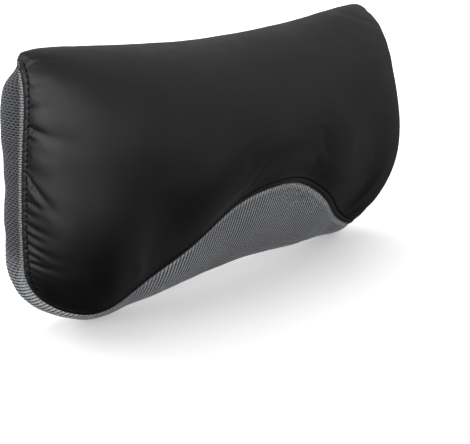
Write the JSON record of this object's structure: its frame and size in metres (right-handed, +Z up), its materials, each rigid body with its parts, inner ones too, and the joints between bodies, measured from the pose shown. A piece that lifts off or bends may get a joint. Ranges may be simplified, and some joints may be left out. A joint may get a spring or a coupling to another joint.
{
  "type": "chair headrest attachment",
  "caption": "Upholstered office chair headrest pad with an arched lower edge, on a height-adjusting, tilting bracket bolted to the chair back.",
  "frame": {"origin": "centre of the rear face of the mounting plate, in the plane where it meets the chair back", "axes": "+Z up, +Y towards the chair back, -Y towards the sitter's head, X across the chair"},
  "size_m": [0.4878, 0.1297, 0.234],
  "materials": {
    "pu_leather": "black coated upholstery leather, fine grain, satin",
    "spacer_mesh": "grey 3-D spacer mesh, 3 mm cells, matt",
    "back_cloth": "black woven lining cloth",
    "wadding": "white polyester fibre wadding",
    "pu_foam": "moulded flexible polyurethane foam",
    "plywood": "9 mm birch plywood",
    "steel_black": "black powder coat on 3 mm and 2.5 mm steel",
    "zinc_plate": "zinc plated sheet steel",
    "zinc_steel": "bright zinc plated steel",
    "hardened_steel": "hardened steel, oiled",
    "spring_steel": "spring steel wire",
    "black_steel": "black oxide steel",
    "pom_dark": "black acetal, moulded",
    "pom_light": "natural acetal, moulded",
    "nylon_white": "natural nylon",
    "abs_button": "fine textured black plastic",
    "bezel_plastic": "fine textured black plastic",
    "bumper_rubber": "black rubber",
    "zip_tape": "black nylon coil zip on woven tape",
    "zip_metal": "black enamelled zinc casting"
  },
  "bodies": {
    "mount": {"mount_plate": "steel_black", "slider_block": "pom_dark", "block_screws": "zinc_steel"},
    "button": {"release_button": "abs_button", "button_return_spring": "spring_steel"},
    "latch": {"latch_bolt": "pom_light", "latch_spring": "spring_steel"},
    "rail": {"rail_channel": "zinc_plate", "rack_strip": "hardened_steel", "rack_rivets": "zinc_steel", "rail_end_stops": "pom_dark", "pivot_spacer": "zinc_steel", "friction_washers": "nylon_white"},
    "pad": {"pad_bracket": "steel_black", "pivot_bolt": "zinc_steel", "disc_springs": "spring_steel", "lock_nut": "zinc_steel", "bracket_bolts": "zinc_steel", "bracket_washers": "zinc_steel", "tee_nuts": "zinc_steel", "backing_board": "plywood", "tilt_bumpers": "bumper_rubber", "foam_core": "pu_foam", "fibre_wadding": "wadding", "leather_cover": "pu_leather", "mesh_gusset": "spacer_mesh", "rear_panel": "back_cloth", "pocket_bezel": "bezel_plastic", "bezel_screws": "black_steel", "zip_chain": "zip_tape"},
    "zip_slider": {"zip_slider": "zip_metal"},
    "zip_puller": {"zip_puller": "zip_metal"}
  },
  "joints": [
    {"name": "height_slide", "type": "slide", "parent": "mount", "child": "rail", "axis": [0, 0, 1], "range_m": [0, 0.048]},
    {"name": "tilt_hinge", "type": "hinge", "parent": "rail", "child": "pad", "pos_m": [0, -0.036, -0.068], "axis": [1, 0, 0], "range_deg": [0, 12]},
    {"name": "button_slide", "type": "slide", "parent": "mount", "child": "button", "axis": [0, 0, -1], "range_m": [0, 0.006], "deforming": ["button_return_spring"]},
    {"name": "latch_slide", "type": "slide", "parent": "mount", "child": "latch", "axis": [0, 1, 0], "range_m": [0, 0.0035], "deforming": ["latch_spring"]},
    {"name": "zip_slide", "type": "slide", "parent": "pad", "child": "zip_slider", "axis": [1, 0, 0], "range_m": [0, 0.272]},
    {"name": "zip_pull_hinge", "type": "hinge", "parent": "zip_slider", "child": "zip_puller", "pos_m": [-0.136, -0.01155, -0.117], "axis": [0, 0, 1], "range_deg": [0, 170]}
  ],
  "couplings": [
    {"joint": "latch_slide", "follows": "button_slide", "ratio": 0.58333}
  ]
}
